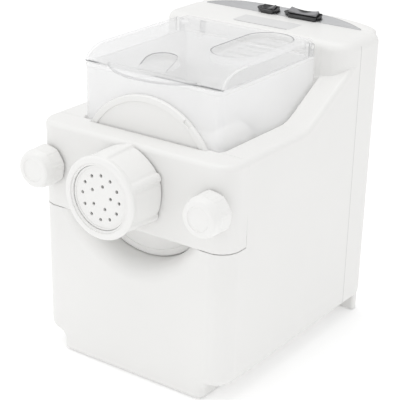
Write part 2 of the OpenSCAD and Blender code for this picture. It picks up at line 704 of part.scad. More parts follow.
module board_parts() {
  color([0.3, 0.3, 0.32]) at() {
    box([-20, 212, 263.6], [0, 228, 278]);
    translate([14, 220, 263.6]) cylinder(r = 6, h = 16, $fn = 40);
    box([30, 214, 263.6], [50, 226, 272]);
    for (x = [-26, 66], yy = [208, 240]) difference() {
      translate([x, yy, 263.6]) cylinder(r = 3, h = tower_h - wall - 263.6, $fn = 32);
      translate([x, yy, 250]) cylinder(r = 1.4, h = 30, $fn = 24);
    }
  }
}
module interlock_switch() {
  color([0.15, 0.15, 0.16]) at() difference() {
    box([-70, 199, 276], [-46, 232, 296]);
    box([-62.6, 190, 284.8], [-54.7, 211, 295.4]);
    ycyl(2.06, 200, 224, -58.6, 290, 32);
  }
}
module interlock_plunger() {
  color([0.85, 0.3, 0.2]) at() union() {
    box([-61.8, 192.9, 285.4], [-55.5, 206, 294.8]);
    ycyl(2, 205, 218, -58.6, 290, 32);
  }
}
module cord_gland() {
  color([0.15, 0.15, 0.16]) at() difference() {
    union() {
      ycyl(7.5, yr(48) - 3.6, yr(48) + 0.2, 60, 48, 48);
      ycyl(10, yr(48) - 6.6, yr(48) - 2.9, 60, 48, 48);
      ycyl(6.5, yr(48) - 14, yr(48) - 6.5, 60, 48, 48);
    }
    ycyl(3.6, 220, 280, 60, 48, 40);
  }
}
module housing_screws() {
  color(steel) at() {
    for (s = [-1, 1], yy = [24, 240]) translate([s*70, yy, 0]) union() {
      translate([0, 0, z0 - 0.9]) cylinder(r = 3.2, h = 0.9, $fn = 32);
      translate([0, 0, z0 - 0.1]) cylinder(r = 1.6, h = 12, $fn = 32);
    }
    for (s = [-1, 1], zz = [70, 245]) union() {
      ycyl(3.4, 250.4, 252.8, s*66, zz, 32);
      ycyl(1.6, 194, 251, s*66, zz, 32);
    }
  }
}

housing();
base_plate();
rear_cover();
rubber_feet();
front_bar();
clamp_studs();
washer_left();
washer_right();
knob_left();
knob_right();
knob_insert_left();
knob_insert_right();
front_disc();
disc_seal();
die();
die_nut();
mixing_bowl();
shaft_seal();
lid();
hinge_pins();
auger();
mixing_paddle();
output_shaft();
output_gear();
idler_gear();
idler_pinion();
idler_shaft();
gearbox_front_plate();
gearbox_rear_plate();
gearbox_spacers();
shaft_bushes();
motor_stator();
motor_coils();
motor_brackets();
motor_rotor();
motor_shaft();
motor_pinion();
motor_fan();
motor_mounts();
control_panel();
label_plate();
power_switch_body();
power_rocker();
mode_switch_body();
mode_rocker();
control_board();
board_parts();
interlock_switch();
interlock_plunger();
cord_gland();
housing_screws();
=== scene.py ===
import math

import bpy
import numpy as np
from mathutils import Matrix, Vector


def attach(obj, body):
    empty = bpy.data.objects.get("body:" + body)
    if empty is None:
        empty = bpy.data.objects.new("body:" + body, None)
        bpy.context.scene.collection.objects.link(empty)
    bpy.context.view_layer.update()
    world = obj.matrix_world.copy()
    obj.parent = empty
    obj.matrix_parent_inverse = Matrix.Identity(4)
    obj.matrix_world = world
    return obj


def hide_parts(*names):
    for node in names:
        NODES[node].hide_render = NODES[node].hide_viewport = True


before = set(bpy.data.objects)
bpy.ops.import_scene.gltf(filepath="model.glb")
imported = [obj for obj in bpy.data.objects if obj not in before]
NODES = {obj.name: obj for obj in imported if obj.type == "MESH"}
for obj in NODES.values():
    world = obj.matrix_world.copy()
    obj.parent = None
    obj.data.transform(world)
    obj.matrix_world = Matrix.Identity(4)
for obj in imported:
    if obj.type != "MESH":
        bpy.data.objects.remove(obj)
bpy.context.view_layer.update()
scene = bpy.context.scene

# All shape functions below work in millimetres, with Y counted from the front
# face of the housing; YM moves them into the shared frame.
YM = 109.78
AX = 193.0          # height of the drive axis
ARM = 233.0         # height of the arm tops
TOP = 299.0         # height of the tower top
S30, C30 = math.sin(math.radians(30)), math.cos(math.radians(30))


# ---------------------------------------------------------------- camera
def make_camera():
    az, el, roll = map(math.radians, (35.7374, 22.255, 0.823))
    back = Vector((math.sin(az) * math.cos(el), -math.cos(az) * math.cos(el), math.sin(el)))
    fwd = -back
    right = fwd.cross(Vector((0, 0, 1))).normalized()
    up = right.cross(fwd)
    r = math.cos(roll) * right + math.sin(roll) * up
    u = -math.sin(roll) * right + math.cos(roll) * up
    data = bpy.data.cameras.new("view")
    data.sensor_fit = "HORIZONTAL"
    data.sensor_width = 36.0
    data.lens = 1269.5942 / 400 * 36
    data.clip_start, data.clip_end = 0.05, 60
    cam = bpy.data.objects.new("view", data)
    bpy.context.collection.objects.link(cam)
    m = Matrix((
        (r.x, u.x, back.x, 0.6703301),
        (r.y, u.y, back.y, -0.9321411),
        (r.z, u.z, back.z, 0.6126198),
        (0, 0, 0, 1),
    ))
    cam.matrix_world = m
    scene.camera = cam


make_camera()


# ---------------------------------------------------------------- shape functions
def union(a, b):
    return np.minimum(a, b)


def both(a, b):
    return np.maximum(a, b)


def runion(a, b, r):
    u = np.maximum(r - a, 0)
    v = np.maximum(r - b, 0)
    return np.maximum(r, np.minimum(a, b)) - np.sqrt(u * u + v * v)


def rboth(a, b, r):
    u = np.maximum(r + a, 0)
    v = np.maximum(r + b, 0)
    return np.minimum(-r, np.maximum(a, b)) + np.sqrt(u * u + v * v)


def rcut(a, b, r):
    return rboth(a, -b, r)


def rect(px, py, wx, wy, r):
    qx = np.abs(px) - wx + r
    qy = np.abs(py) - wy + r
    return np.sqrt(np.maximum(qx, 0) ** 2 + np.maximum(qy, 0) ** 2) + np.minimum(np.maximum(qx, qy), 0) - r


def block(x, y, z, lo, hi, r):
    c = [(a + b) / 2 for a, b in zip(lo, hi)]
    h = [(b - a) / 2 for a, b in zip(lo, hi)]
    q = [np.abs(v - m) - w + r for v, m, w in zip((x, y, z), c, h)]
    out = np.sqrt(sum(np.maximum(v, 0) ** 2 for v in q))
    return out + np.minimum(np.maximum(np.maximum(q[0], q[1]), q[2]), 0) - r


def rod_y(x, y, z, cx, cz, r, y0, y1, e=0.3):
    d = np.sqrt((x - cx) ** 2 + (z - cz) ** 2) - r
    return rboth(d, np.maximum(y0 - y, y - y1), e)


def hw(z):
    return 110 + 0.0135 * (z - ARM)


def yf(z):
    return 0.0101 * (z - ARM)


def yr(z):
    return np.minimum(262 + 0.0087 * (z - ARM), 262.4)


def plan(x, y, z, front, r):
    y1 = yr(z)
    return rect(x, y - (front + y1) / 2, hw(z), (y1 - front) / 2, r)


def ramp(t, w):
    return np.where(t < -w, 0, np.where(t > w, t, (t + w) ** 2 / (4 * w)))


def arm_top(x, y, z):
    t = y - (123 + 0.34 * (110 - np.abs(x)))
    s = 0.56 * np.clip((t + 11) / 22, 0, 1)
    return (z - ARM - 0.56 * ramp(t, 11)) / np.sqrt(1 + s * s)


def slant(y, z):
    """Along and off the tilted control face."""
    return (y - 249) * C30 + (z - TOP) * S30, -(y - 249) * S30 + (z - TOP) * C30


def arch_reach(x):
    """How far the raised arch runs up the slant at x."""
    return 13.1 * (1 - (np.abs(x) / 105) ** 4.0)


def well(x, y, z, r, y0, y1, rf, rb):
    """A trough: half round below the axis, straight above it."""
    d = np.sqrt(x * x + np.minimum(z - AX, 0) ** 2) - r
    return rboth(rboth(d, y0 - y, rf), y - y1, rb)


def housing_body(x, y, z):
    prof = runion(17 - z, np.abs(x) - 84, 7)
    body = rboth(plan(x, y, z, yf(z), 20), prof, 8)
    body = rboth(rboth(body, arm_top(x, y, z), 5), z - TOP, 9)
    body = rboth(body, 1.5 - z, 2.5)
    tower = rboth(plan(x, y, z, 190.0, 20), z - TOP, 9)
    tower = both(tower, 150 - z)
    d = runion(body, tower, 0.001)
    d = np.minimum(body, tower)
    # raised arch that carries the controls
    s, n = slant(y, z)
    arch = rboth(n + 0.25, (z - TOP - 0.5 * arch_reach(x)) * 0.97, 0.9)
    arch = rboth(arch, plan(x, y, z, 190.0, 20) + 0.4, 3.0)
    arch = rboth(both(arch, 244 - y), np.abs(x) - 103, 2.5)
    d = runion(d, arch, 0.3)
    # bowl well
    d = rcut(d, well(x, y, z, 80.0, 28.35, 190.0, 8.0, 1.0), 1.3)
    # place of the front bar
    d = both(d, -both(150.35 - z, y - 28.25))
    return d


def housing_outer(x, y, z):
    d = housing_body(x, y, z)
    # scoop round the disc, flaring out to the front face
    rad = np.sqrt(x * x + (z - AX) ** 2)
    lip = rboth(yf(z) - y, 77.1 - rad, 17.0)
    return both(d, np.minimum(lip, 31.0 - y))


def housing(x, y, z):
    o = housing_outer(x, y, z)
    keep = both(np.sqrt(x * x + (z - AX) ** 2) - 98, y - 34)
    inner = both(both(housing_body(x, y, z) + 3.0, -keep), 6 - z)
    d = both(o, -inner)
    # openings
    d = rcut(d, both(both(np.abs(x) - 81, z - 8), both(2.2 - y, y - 256.8)), 0.6)
    back = rect(x, z - 151, 90, 127, 3)
    d = rcut(d, both(back, 250 - y), 0.5)
    d = rcut(d, rod_y(x, y, z, 0, AX, 22, 184, 200), 0.4)
    d = rcut(d, block(x, y, z, (-62.4, 180, 284.2), (-54.9, 200, 295.8), 1.0), 0.5)
    for sx in (-1, 1):
        d = rcut(d, rod_y(x, y, z, sx * 94.5, 192, 4.1, 20, 40), 0.3)
    d = rcut(d, both(rect(x, y - 219, 31.35, 12.55, 1.2), TOP - 0.85 - z), 0.4)
    for cx, l in ((-20, 18.8), (22, 35.8)):
        d = both(d, -block(x, y, z, (cx - l / 2, 249.9, 280), (cx + l / 2, 258.8, 320), 0.3))
    return d


def front_bar(x, y, z):
    d = rboth(plan(x, y, z, yf(z), 20), z - ARM, 5)
    d = rboth(d, 150.75 - z, 1.3)
    d = both(d, y - 28.55)
    rad = np.sqrt(x * x + (z - AX) ** 2)
    d = rcut(d, both(rad - 77.1, 24.6 - y), 0.8)
    d = rcut(d, rad - 35.2, 0.5)
    for sx in (-1, 1):
        d = rcut(d, np.sqrt((x - sx * 94.5) ** 2 + (z - 192) ** 2) - 4.4, 0.3)
    return d


def front_disc(x, y, z):
    rad = np.sqrt(x * x + (z - AX) ** 2)
    plate = rboth(rad - 76.5, both(25 - y, y - 29.6), 1.0)
    plate = rcut(plate, both(rad - 70.3, y - 25.9), 0.7)
    a = math.radians(37)
    nx, nz = x * math.cos(a) - (z - AX) * math.sin(a), x * math.sin(a) + (z - AX) * math.cos(a)
    plate = rcut(plate, both(both(np.abs(nx) - 4, 73.2 - nz), y - 26.6), 0.5)
    back = rboth(rad - 67.4, both(29 - y, y - 34), 0.6)
    tube = rboth(rad - 34, both(-34.8 - y, y - 30), 0.6)
    d = runion(plate, tube, 1.5)
    d = runion(d, back, 0.3)
    d = rcut(d, both(rad - 27, y - 31), 0.5)
    d = rcut(d, (rad - 26.5 - (y - 29.6) * 7.7) / 7.8, 0.3)
    return d


def fold(theta, n, first):
    """Degrees from the nearest of n corners, and half the pitch."""
    p = 360 / n
    return np.abs((theta - first + p / 2) % p - p / 2), p / 2


def die_nut(x, y, z):
    zz = z - AX
    rad = np.sqrt(x * x + zz * zz)
    th = np.degrees(np.arctan2(zz, x))
    c, half = fold(th, 6, 25.0)
    t = np.clip((-y - 1.6) / 41.4, 0, 1)
    facet = 38.2 + 1.7 * (np.clip(half - c, 0, half) / half) ** 2
    w = np.clip((6.6 - c) / 3.2, 0, 1)
    ridge = 1.55 * w * w * (3 - 2 * w)
    dip = 0.3 * np.exp(-((c - 8.0) / 2.0) ** 2)
    r_out = facet - dip + ridge
    r_out = r_out - 2.5 * t ** 1.3 * (0.35 + 0.65 * (r_out - 37.5) / 4)
    front = 38.7
    blend = np.clip((t - 0.80) / 0.14, 0, 1)
    blend = blend * blend * (3 - 2 * blend)
    r_out = r_out * (1 - blend) + front * blend
    d = (rad - r_out) * 0.93
    d = rboth(d, -42.94 - y, 2.6)
    d = rboth(d, y + 1.6, 1.4)
    # stepped opening
    d = rcut(d, both(rad - 32.3, y + 41.7), 0.5)
    d = rcut(d, both(rad - 30.15, y + 37), 0.5)
    d = rcut(d, both(rad - 33.5, both(y + 33, -39.7 - y)), 0.2)
    d = rcut(d, both(rad - 34.4, -34.8 - y), 0.4)
    return d


HOLES = [(20.74, 88.3 - 30 * i) for i in range(12)] + [(11.0, 78 - 72 * i) for i in range(5)]


def die(x, y, z):
    rad = np.sqrt(x * x + (z - AX) ** 2)
    d = rboth(rad - 33.2, both(-39.4 - y, y + 35), 0.4)
    d = runion(d, rboth(rad - 29.85, both(-40.2 - y, y + 38), 0.35), 0.3)
    d = rcut(d, both(rad - 27.9, y + 39.6), 0.3)
    d = rcut(d, both(rad - 25, -36.6 - y), 0.4)
    for r, a in HOLES:
        a = math.radians(a)
        h = np.sqrt((x - r * math.cos(a)) ** 2 + (z - AX - r * math.sin(a)) ** 2) - 1.6
        d = rcut(d, h, 0.35)
    return d


def knob(x, y, z):
    """Centred on its own axis."""
    rad = np.sqrt(x * x + z * z)
    th = np.degrees(np.arctan2(z, x))
    c, half = fold(th, 8, 12.0)
    flat = 19.0 / np.cos(np.radians(np.clip(half - c, 0, half)))
    w = np.clip((6.0 - c) / 3.4, 0, 1)
    r_out = np.minimum(flat, 19.35) + 0.5 * w * w * (3 - 2 * w)
    t = np.clip((-y - 2.1) / 17, 0, 1)
    r_out = r_out - 0.9 * t
    blend = np.clip((-y - 14.6) / 4.0, 0, 1)
    blend = blend * blend * (3 - 2 * blend)
    cone = 19.2 - np.clip(-y - 16.5, 0, 9) * 0.30
    r_out = r_out * (1 - blend) + cone * blend
    d = (rad - r_out) * 0.93
    d = rboth(d, -25.0 - y, 2.2)
    d = rboth(d, y + 2.1, 1.0)
    d = rcut(d, rboth(rad - 11.2, y + 24.0, 0.8), 0.7)
    d = rcut(d, both(rad - 11, -3.4 - y), 0.5)
    d = both(d, -both(rad - 7, -19.5 - y))
    return d


def bowl(x, y, z):
    outer = well(x, y, z, 77.5, 30.0, 187.0, 6.5, 5.0)
    inner = well(x, y, z, 75.0, 32.5, 184.5, 4.5, 3.0)
    d = both(outer, -inner)
    # rim, lower at the back
    rim = z - np.where(y > 183.9, 284.5, 286.6)
    d = rboth(d, rim, 0.7)
    # outward bead below the rim
    bead = np.sqrt((outer + 0.2) ** 2 + (z - 283.9) ** 2) - 1.0
    d = runion(d, both(bead, y - 180), 0.5)
    # ears for the hinge pins
    for sx in (-1, 1):
        ear = np.sqrt((y - 179.5) ** 2 + (z - 295) ** 2) - 4
        ear = np.minimum(ear, both(np.abs(y - 179.5) - 4, both(280 - z, z - 295)))
        ear = rboth(ear, np.abs(sx * x - 76.25) - 1.25, 0.4)
        d = runion(d, ear, 0.4)
    d = runion(d, rod_y(x, y, z, 0, AX, 20, 185.5, 189.4), 0.5)
    d = rcut(d, block(x, y, z, (-62.6, 180, 281), (-54.9, 195, 340), 0.5), 0.4)
    rad = np.sqrt(x * x + (z - AX) ** 2)
    d = rcut(d, both(rad - 68, y - 40), 0.6)
    d = rcut(d, both(rad - 11, 170 - y), 0.4)
    for sx in (-1, 1):
        d = both(d, -(np.sqrt((y - 179.5) ** 2 + (z - 295) ** 2) - 2.0))
    return d


def lid_section(y, z, o):
    """Side outline of the lid, shrunk by o."""
    # front roll: quarter ellipse, semi axes 29 and 13.6, centre (62, 287.9)
    ey, ez = (y - 62) / (29.6 - o), (z - 287.2) / (14.3 - o)
    e = np.sqrt(ey * ey + ez * ez)
    roll = (e - 1) * 16 / np.sqrt(1 + 0.0 * e)
    roll = np.where(y < 62, np.maximum(roll, 287.0 - z), z - (301.5 - o))
    d = np.where(y < 62, roll, z - (301.5 - o))
    d = rboth(d, y - (186 - o), 2.5)
    return d


def lid(x, y, z):
    half = np.where(y > 172.5, 74.4, 78.5)
    side = np.abs(x) - half
    outer = rboth(lid_section(y, z, 0.0), side, 2.2)
    inner = rboth(lid_section(y, z, 2.2), side + 2.2, 1.2)
    outer = both(outer, 287.2 - z)
    d = both(outer, -inner)
    # thumb scoop: a dished arch pressed into the front roll
    sc = np.sqrt((x / 15.5) ** 2 + (np.maximum(y - 44, 0) / 17.0) ** 2) - 1
    dish = 293.2 - z
    air = rboth(sc * 14, dish, 3.0)
    floor_o = rboth(sc * 14 - 2.0, dish - 2.0, 4.5)
    zone = y - 64
    d = runion(d, both(both(floor_o, zone), both(outer, 291.2 - z)), 0.6)
    d = rcut(d, air, 0.8)
    # pour recess
    q = np.sqrt((x - 41.5) ** 2 + np.maximum(np.abs(y - 132) - 26, 0) ** 2)
    cup = rboth(q - 25.0, both(293.4 - z, z - 301.0), 1.0)
    d = runion(d, cup, 0.6)
    d = rcut(d, rboth(q - 23.0, 295.5 - z, 1.4), 1.0)
    for i in range(-2, 3):
        yy = 131.5 + i * 14
        d = both(d, -block(x, y, z, (24, yy - 1.5, 290), (59, yy + 1.5, 300), 1.4))
    # curved lip along the front
    lip = np.sqrt(x * x + (y - 83) ** 2) - 71
    lip = rboth(lip, both(287.25 - z, z - 289.5), 0.7)
    lip = both(both(lip, y - 36), np.abs(x) - 60)
    d = runion(d, lip, 0.5)
    # knuckles, rear walls, finger and the small catch at the right rear
    for sx in (-1, 1):
        d = runion(d, block(sx * x, y, z, (67, 176, 291.6), (74.2, 183, 299.5), 1.6), 0.4)
        d = both(d, -(np.sqrt((y - 179.5) ** 2 + (z - 295) ** 2) - 2.06))
    d = runion(d, block(x, y, z, (-61.5, 183.5, 290.5), (-56, 192.5, 294.5), 0.6), 0.3)
    d = runion(d, block(x, y, z, (60.5, 152, 299.2), (68.5, 160, 301.5), 0.6), 0.3)
    return both(d, z - 301.55)


def panel(x, y, z):
    s, n = slant(y, z)
    top = 12.6 * (1 - (np.abs(x + 3) / 95.5) ** 3.4)
    d = rboth(rboth(0.1 - s, np.abs(x + 3) - 92.5, 0.6), s - top, 0.3)
    d = rboth(d, both(-2.0 - n, n - 0.2), 0.12)
    for cx, l in ((-20, 18.8), (22, 35.8)):
        d = both(d, -block(x, y, z, (cx - l / 2, 249.9, 280), (cx + l / 2, 258.8, 320), 0.3))
    return d


def label(x, y, z):
    return block(x, y, z, (-33.6, 206.8, TOP - 0.8), (33.6, 231.8, TOP + 0.1), 0.35)


def on_panel(x, y, z, cx):
    """Local frame of a switch: u across, v up the slant, w out of the face."""
    s, n = slant(y, z)
    return x - cx, s - 6.6, n


def switch_body(cx, l, w, li, wi, off):
    def f(x, y, z):
        u, v, n = on_panel(x, y, z, cx)
        a, b = (u - off) / (l / 2), (v + 1.2) / (w / 2)
        e = np.sqrt(a * a + b * b)
        q = (e - 1) * w / 2
        m = (n + 0.21 * v) * 0.979
        d = rboth(q, both(1.3 - m, m - 2.4), 0.45)
        foot = rect(u - 0.4, v + 1.6, li / 2 - 1.4, 6.1, 1.0)
        d = runion(d, rboth(foot, both(-0.4 - n, m - 1.8), 0.3), 0.2)
        low = block(x, y, z, (cx - li / 2 - 0.7, 250, 288), (cx + li / 2 + 0.7, 258.7, 310), 0.4)
        low = both(low, n - 1)
        d = np.minimum(d, low)
        d = rcut(d, both(rect(u, v, li / 2 - 0.05, wi / 2, 0.6), -4.8 - n), 0.5)
        return d
    return f


def rocker(cx, r, w, h, tilt):
    t = math.radians(tilt)

    def f(x, y, z):
        u, v, n = on_panel(x, y, z, cx)
        a = u * math.cos(t) - n * math.sin(t)
        b = u * math.sin(t) + n * math.cos(t)
        top = h * (0.57 + 0.39 * np.clip(a / r, -1.2, 1.2) ** 2) - 0.2 * v
        d = rboth(np.abs(v) - w / 2 + 0.1 + 0.4 * np.clip(1.5 - b, 0, 3), (b - top) * 0.91, 0.9)
        d = rboth(d, np.abs(a) - r + 0.15 + np.maximum(b, 0) * 0.09, 0.7)
        d = both(d, 0.2 - b)
        return d
    return f


def rear_cover(x, y, z):
    y1 = yr(z)
    d = rboth(rect(x, z - 151, 89.7, 126.7, 3.0), both(y1 - 2.6 - y, y - y1), 0.5)
    q = np.abs((z - 91.5 + 3.5) % 7 - 3.5)
    vent = rect(x, q, 35, 1.5, 1.4)
    d = rcut(d, both(vent, both(89 - z, z - 164)), 0.45)
    d = rcut(d, np.sqrt((x - 60) ** 2 + (z - 48) ** 2) - 7.5, 0.3)
    for sx in (-1, 1):
        for zz in (32, 270):
            q = np.sqrt((x - sx * 82) ** 2 + (z - zz) ** 2)
            d = rcut(d, q - 2.0, 0.3)
            d = rcut(d, both(q - 4.0, y1 - 1.1 - y), 0.3)
    return d


def base_plate(x, y, z):
    d = rboth(rect(x, y - 129.5, 80.7, 127.2, 2.0), both(1.5 - z, z - 4.5), 0.5)
    q = np.abs((x + 5) % 10 - 5)
    for j in range(3):
        slot = rect(q, y - (106 + 26 * j), 1.8, 10, 1.7)
        d = rcut(d, both(slot, np.abs(x) - 54), 0.45)
    for sx in (-1, 1):
        for yy in (24, 240):
            d = rcut(d, np.sqrt((x - sx * 70) ** 2 + (y - yy) ** 2) - 2, 0.3)
        for yy in (42, 222):
            d = rcut(d, np.sqrt((x - sx * 70) ** 2 + (y - yy) ** 2) - 5, 0.3)
    return d


def feet(x, y, z):
    d = None
    for sx in (-1, 1):
        for yy in (42, 222):
            r = np.sqrt((x - sx * 70) ** 2 + (y - yy) ** 2)
            f = rboth(r - 8, both(0.04 - z, z - 1.5), 0.5)
            f = np.minimum(f, both(r - 4.9, both(0.5 - z, z - 4.7)))
            f = np.minimum(f, rboth(r - 6, both(4.5 - z, z - 6), 0.4))
            f = rcut(f, both(np.abs(r - 4.2) - 0.7, z - 0.5), 0.2)
            d = f if d is None else np.minimum(d, f)
    return d


def gland(x, y, z):
    y0 = yr(48.0)
    d = rod_y(x, y, z, 60, 48, 7.5, y0 - 3.6, y0 + 0.2, 0.5)
    d = np.minimum(d, rod_y(x, y, z, 60, 48, 10, y0 - 6.6, y0 - 2.9, 0.4))
    d = np.minimum(d, rod_y(x, y, z, 60, 48, 6.5, y0 - 14, y0 - 6.5, 0.4))
    rad = np.sqrt((x - 60) ** 2 + (z - 48) ** 2)
    return rcut(d, rad - 3.6, 0.5)


def washer(x, y, z):
    rad = np.sqrt(x * x + z * z)
    d = rboth(rad - 10, both(-1.8 - y, y + 0.5), 0.25)
    return rcut(d, rad - 4.06, 0.2)


# ---------------------------------------------------------------- surfaces from shape functions
def sample(f, p):
    out = np.empty(len(p))
    step = 120000
    for i in range(0, len(p), step):
        q = p[i:i + step]
        out[i:i + step] = f(q[:, 0], q[:, 1], q[:, 2])
    return out


def slope_of(f, p, e):
    g = np.empty_like(p)
    for a in range(3):
        o = np.zeros(3)
        o[a] = e
        g[:, a] = (sample(f, p + o) - sample(f, p - o)) / (2 * e)
    return g


def contour(f, lo, hi, h):
    """Dual contouring: one vertex per crossed cell, put where the crossed faces' planes meet."""
    lo = np.array(lo, float)
    n = np.ceil((np.array(hi, float) - lo) / h).astype(int) + 1
    B = 8
    nb = (n + B - 1) // B
    N = nb * B
    mids = [lo[i] + h * (np.arange(nb[i]) * B + (B - 1) / 2) for i in range(3)]
    cx, cy, cz = np.meshgrid(*mids, indexing="ij")
    fc = f(cx.ravel(), cy.ravel(), cz.ravel()).reshape(nb)
    V = np.empty(N, np.float32)
    V6 = V.reshape(nb[0], B, nb[1], B, nb[2], B)
    V6[:] = (np.sign(fc) * 99)[:, None, :, None, :, None]
    near = np.argwhere(np.abs(fc) < h * B * 0.87 * 1.35 + 1.5)
    o = np.arange(B) * h
    ox, oy, oz = (v.ravel() for v in np.meshgrid(o, o, o, indexing="ij"))
    for i in range(0, len(near), 200):
        k = near[i:i + 200]
        b = lo + k * (B * h)
        vals = f((b[:, 0, None] + ox).ravel(), (b[:, 1, None] + oy).ravel(), (b[:, 2, None] + oz).ravel())
        V6[k[:, 0], :, k[:, 1], :, k[:, 2], :] = vals.reshape(-1, B, B, B)
    S = V < 0
    nx, ny, nz = N - 1
    cnt = np.zeros((nx, ny, nz), np.uint8)
    for i in (0, 1):
        for j in (0, 1):
            for k in (0, 1):
                cnt += S[i:i + nx, j:j + ny, k:k + nz]
    act = (cnt > 0) & (cnt < 8)
    ids = np.full((nx, ny, nz), -1, np.int64)
    cells = np.argwhere(act)
    ids[act] = np.arange(len(cells))
    m = len(cells)
    AtA = np.zeros((m, 3, 3))
    Atb = np.zeros((m, 3))
    mass = np.zeros((m, 3))
    num = np.zeros(m)
    faces = []
    for a in range(3):
        b, c = (a + 1) % 3, (a + 2) % 3
        sl0 = [slice(None)] * 3
        sl1 = [slice(None)] * 3
        sl0[a] = slice(0, N[a] - 1)
        sl1[a] = slice(1, N[a])
        hit = np.argwhere(S[tuple(sl0)] != S[tuple(sl1)])
        ok = (hit[:, b] > 0) & (hit[:, c] > 0) & (hit[:, b] < N[b] - 1) & (hit[:, c] < N[c] - 1)
        hit = hit[ok]
        nxt = hit.copy()
        nxt[:, a] += 1
        v0 = V[tuple(hit.T)].astype(float)
        v1 = V[tuple(nxt.T)].astype(float)
        p = lo + hit * h
        p[:, a] += h * v0 / (v0 - v1)
        g = slope_of(f, p, 0.02)
        g /= np.maximum(np.linalg.norm(g, axis=1), 1e-9)[:, None]
        quad = []
        for db, dc in ((-1, -1), (0, -1), (0, 0), (-1, 0)):
            q = hit.copy()
            q[:, b] += db
            q[:, c] += dc
            quad.append(ids[tuple(q.T)])
        gg = g[:, :, None] * g[:, None, :]
        gp = g * (g * p).sum(1)[:, None]
        for q in quad:
            for r in range(3):
                mass[:, r] += np.bincount(q, p[:, r], m)
                Atb[:, r] += np.bincount(q, gp[:, r], m)
                for s in range(3):
                    AtA[:, r, s] += np.bincount(q, gg[:, r, s], m)
            num += np.bincount(q, minlength=m)
        quad = np.stack(quad, 1)
        flip = ~S[tuple(hit.T)]
        quad[flip] = quad[flip][:, ::-1]
        faces.append(quad)
    faces = np.concatenate(faces)
    num = np.maximum(num, 1)
    mean = mass / num[:, None]
    lam = 0.02 * num
    A = AtA + lam[:, None, None] * np.eye(3)
    rhs = Atb + lam[:, None] * mean
    P = np.linalg.solve(A, rhs[:, :, None])[:, :, 0]
    low = lo + cells * h
    P = np.clip(P, low - 0.05 * h, low + 1.05 * h)
    return P, faces


def settle(f, P, h, rounds=2):
    for _ in range(rounds):
        d = sample(f, P)
        g = slope_of(f, P, 0.02)
        gg = (g * g).sum(1)
        step = d / np.maximum(gg, 0.25)
        step = np.clip(step, -0.4 * h, 0.4 * h)
        P = P - step[:, None] * g
    return P


def to_frame(P, at=(0, 0, 0)):
    Q = (P + np.array(at)) * 0.001
    Q[:, 1] -= YM * 0.001
    return Q


def build(name, f, lo, hi, h, body, replaces=(), keep=0.2, at=(0, 0, 0)):
    """Meshes f, thins it where it is flat, and gives every corner its true normal."""
    P, F = contour(f, lo, hi, h)
    me = bpy.data.meshes.new(name)
    me.from_pydata(P, [], F.tolist())
    ob = bpy.data.objects.new(name, me)
    bpy.context.collection.objects.link(ob)
    if keep < 1:
        mod = ob.modifiers.new("thin", "DECIMATE")
        mod.decimate_type = "COLLAPSE"
        mod.ratio = keep
        mod.use_collapse_triangulate = True
        dg = bpy.context.evaluated_depsgraph_get()
        new = bpy.data.meshes.new_from_object(ob.evaluated_get(dg))
        ob.modifiers.clear()
        old = ob.data
        ob.data = new
        bpy.data.meshes.remove(old)
        me = new
        me.name = name
    P = np.empty(len(me.vertices) * 3)
    me.vertices.foreach_get("co", P)
    P = P.reshape(-1, 3)
    # true normals, read a little way in from each corner
    nl = len(me.loops)
    lv = np.empty(nl, np.int32)
    me.loops.foreach_get("vertex_index", lv)
    start = np.empty(len(me.polygons), np.int32)
    total = np.empty(len(me.polygons), np.int32)
    me.polygons.foreach_get("loop_start", start)
    me.polygons.foreach_get("loop_total", total)
    owner = np.repeat(np.arange(len(start)), total)
    mid = np.zeros((len(start), 3))
    for r in range(3):
        mid[:, r] = np.bincount(owner, P[lv, r], len(start)) / total
    step = mid[owner] - P[lv]
    dist = np.linalg.norm(step, axis=1)
    step *= (np.minimum(0.16 * h, 0.5 * dist) / np.maximum(dist, 1e-9))[:, None]
    q = P[lv] + step
    g = slope_of(f, q, 0.04)
    g /= np.maximum(np.linalg.norm(g, axis=1), 1e-9)[:, None]
    me.vertices.foreach_set("co", to_frame(P, at).ravel())
    me.polygons.foreach_set("use_smooth", np.ones(len(me.polygons), bool))
    me.update()
    me.normals_split_custom_set(g.tolist())
    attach(ob, body)
    if replaces:
        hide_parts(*replaces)
    return ob


def copy_of(ob, name, shift, body, replaces=()):
    new = ob.copy()
    new.data = ob.data.copy()
    new.name = new.data.name = name
    for k in list(new.keys()):
        if k.startswith("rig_"):
            del new[k]
    bpy.context.collection.objects.link(new)
    new.data.transform(Matrix.Translation(Vector(shift) * 0.001))
    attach(new, body)
    if replaces:
        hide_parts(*replaces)
    return new


# ---------------------------------------------------------------- materials
def new_mat(name):
    m = bpy.data.materials.new(name)
    m.use_nodes = True
    nt = m.node_tree
    return m, nt, nt.nodes["Principled BSDF"]


def node(nt, kind, **vals):
    n = nt.nodes.new(kind)
    for k, v in vals.items():
        if k in n.inputs:
            n.inputs[k].default_value = v
        else:
            setattr(n, k, v)
    return n


def ramp_of(nt, fac, stops):
    r = nt.nodes.new("ShaderNodeValToRGB")
    el = r.color_ramp.elements
    while len(el) < len(stops):
        el.new(0.5)
    for e, (p, c) in zip(el, stops):
        e.position = p
        e.color = (*c, 1) if len(c) == 3 else c
    nt.links.new(fac, r.inputs["Fac"])
    return r


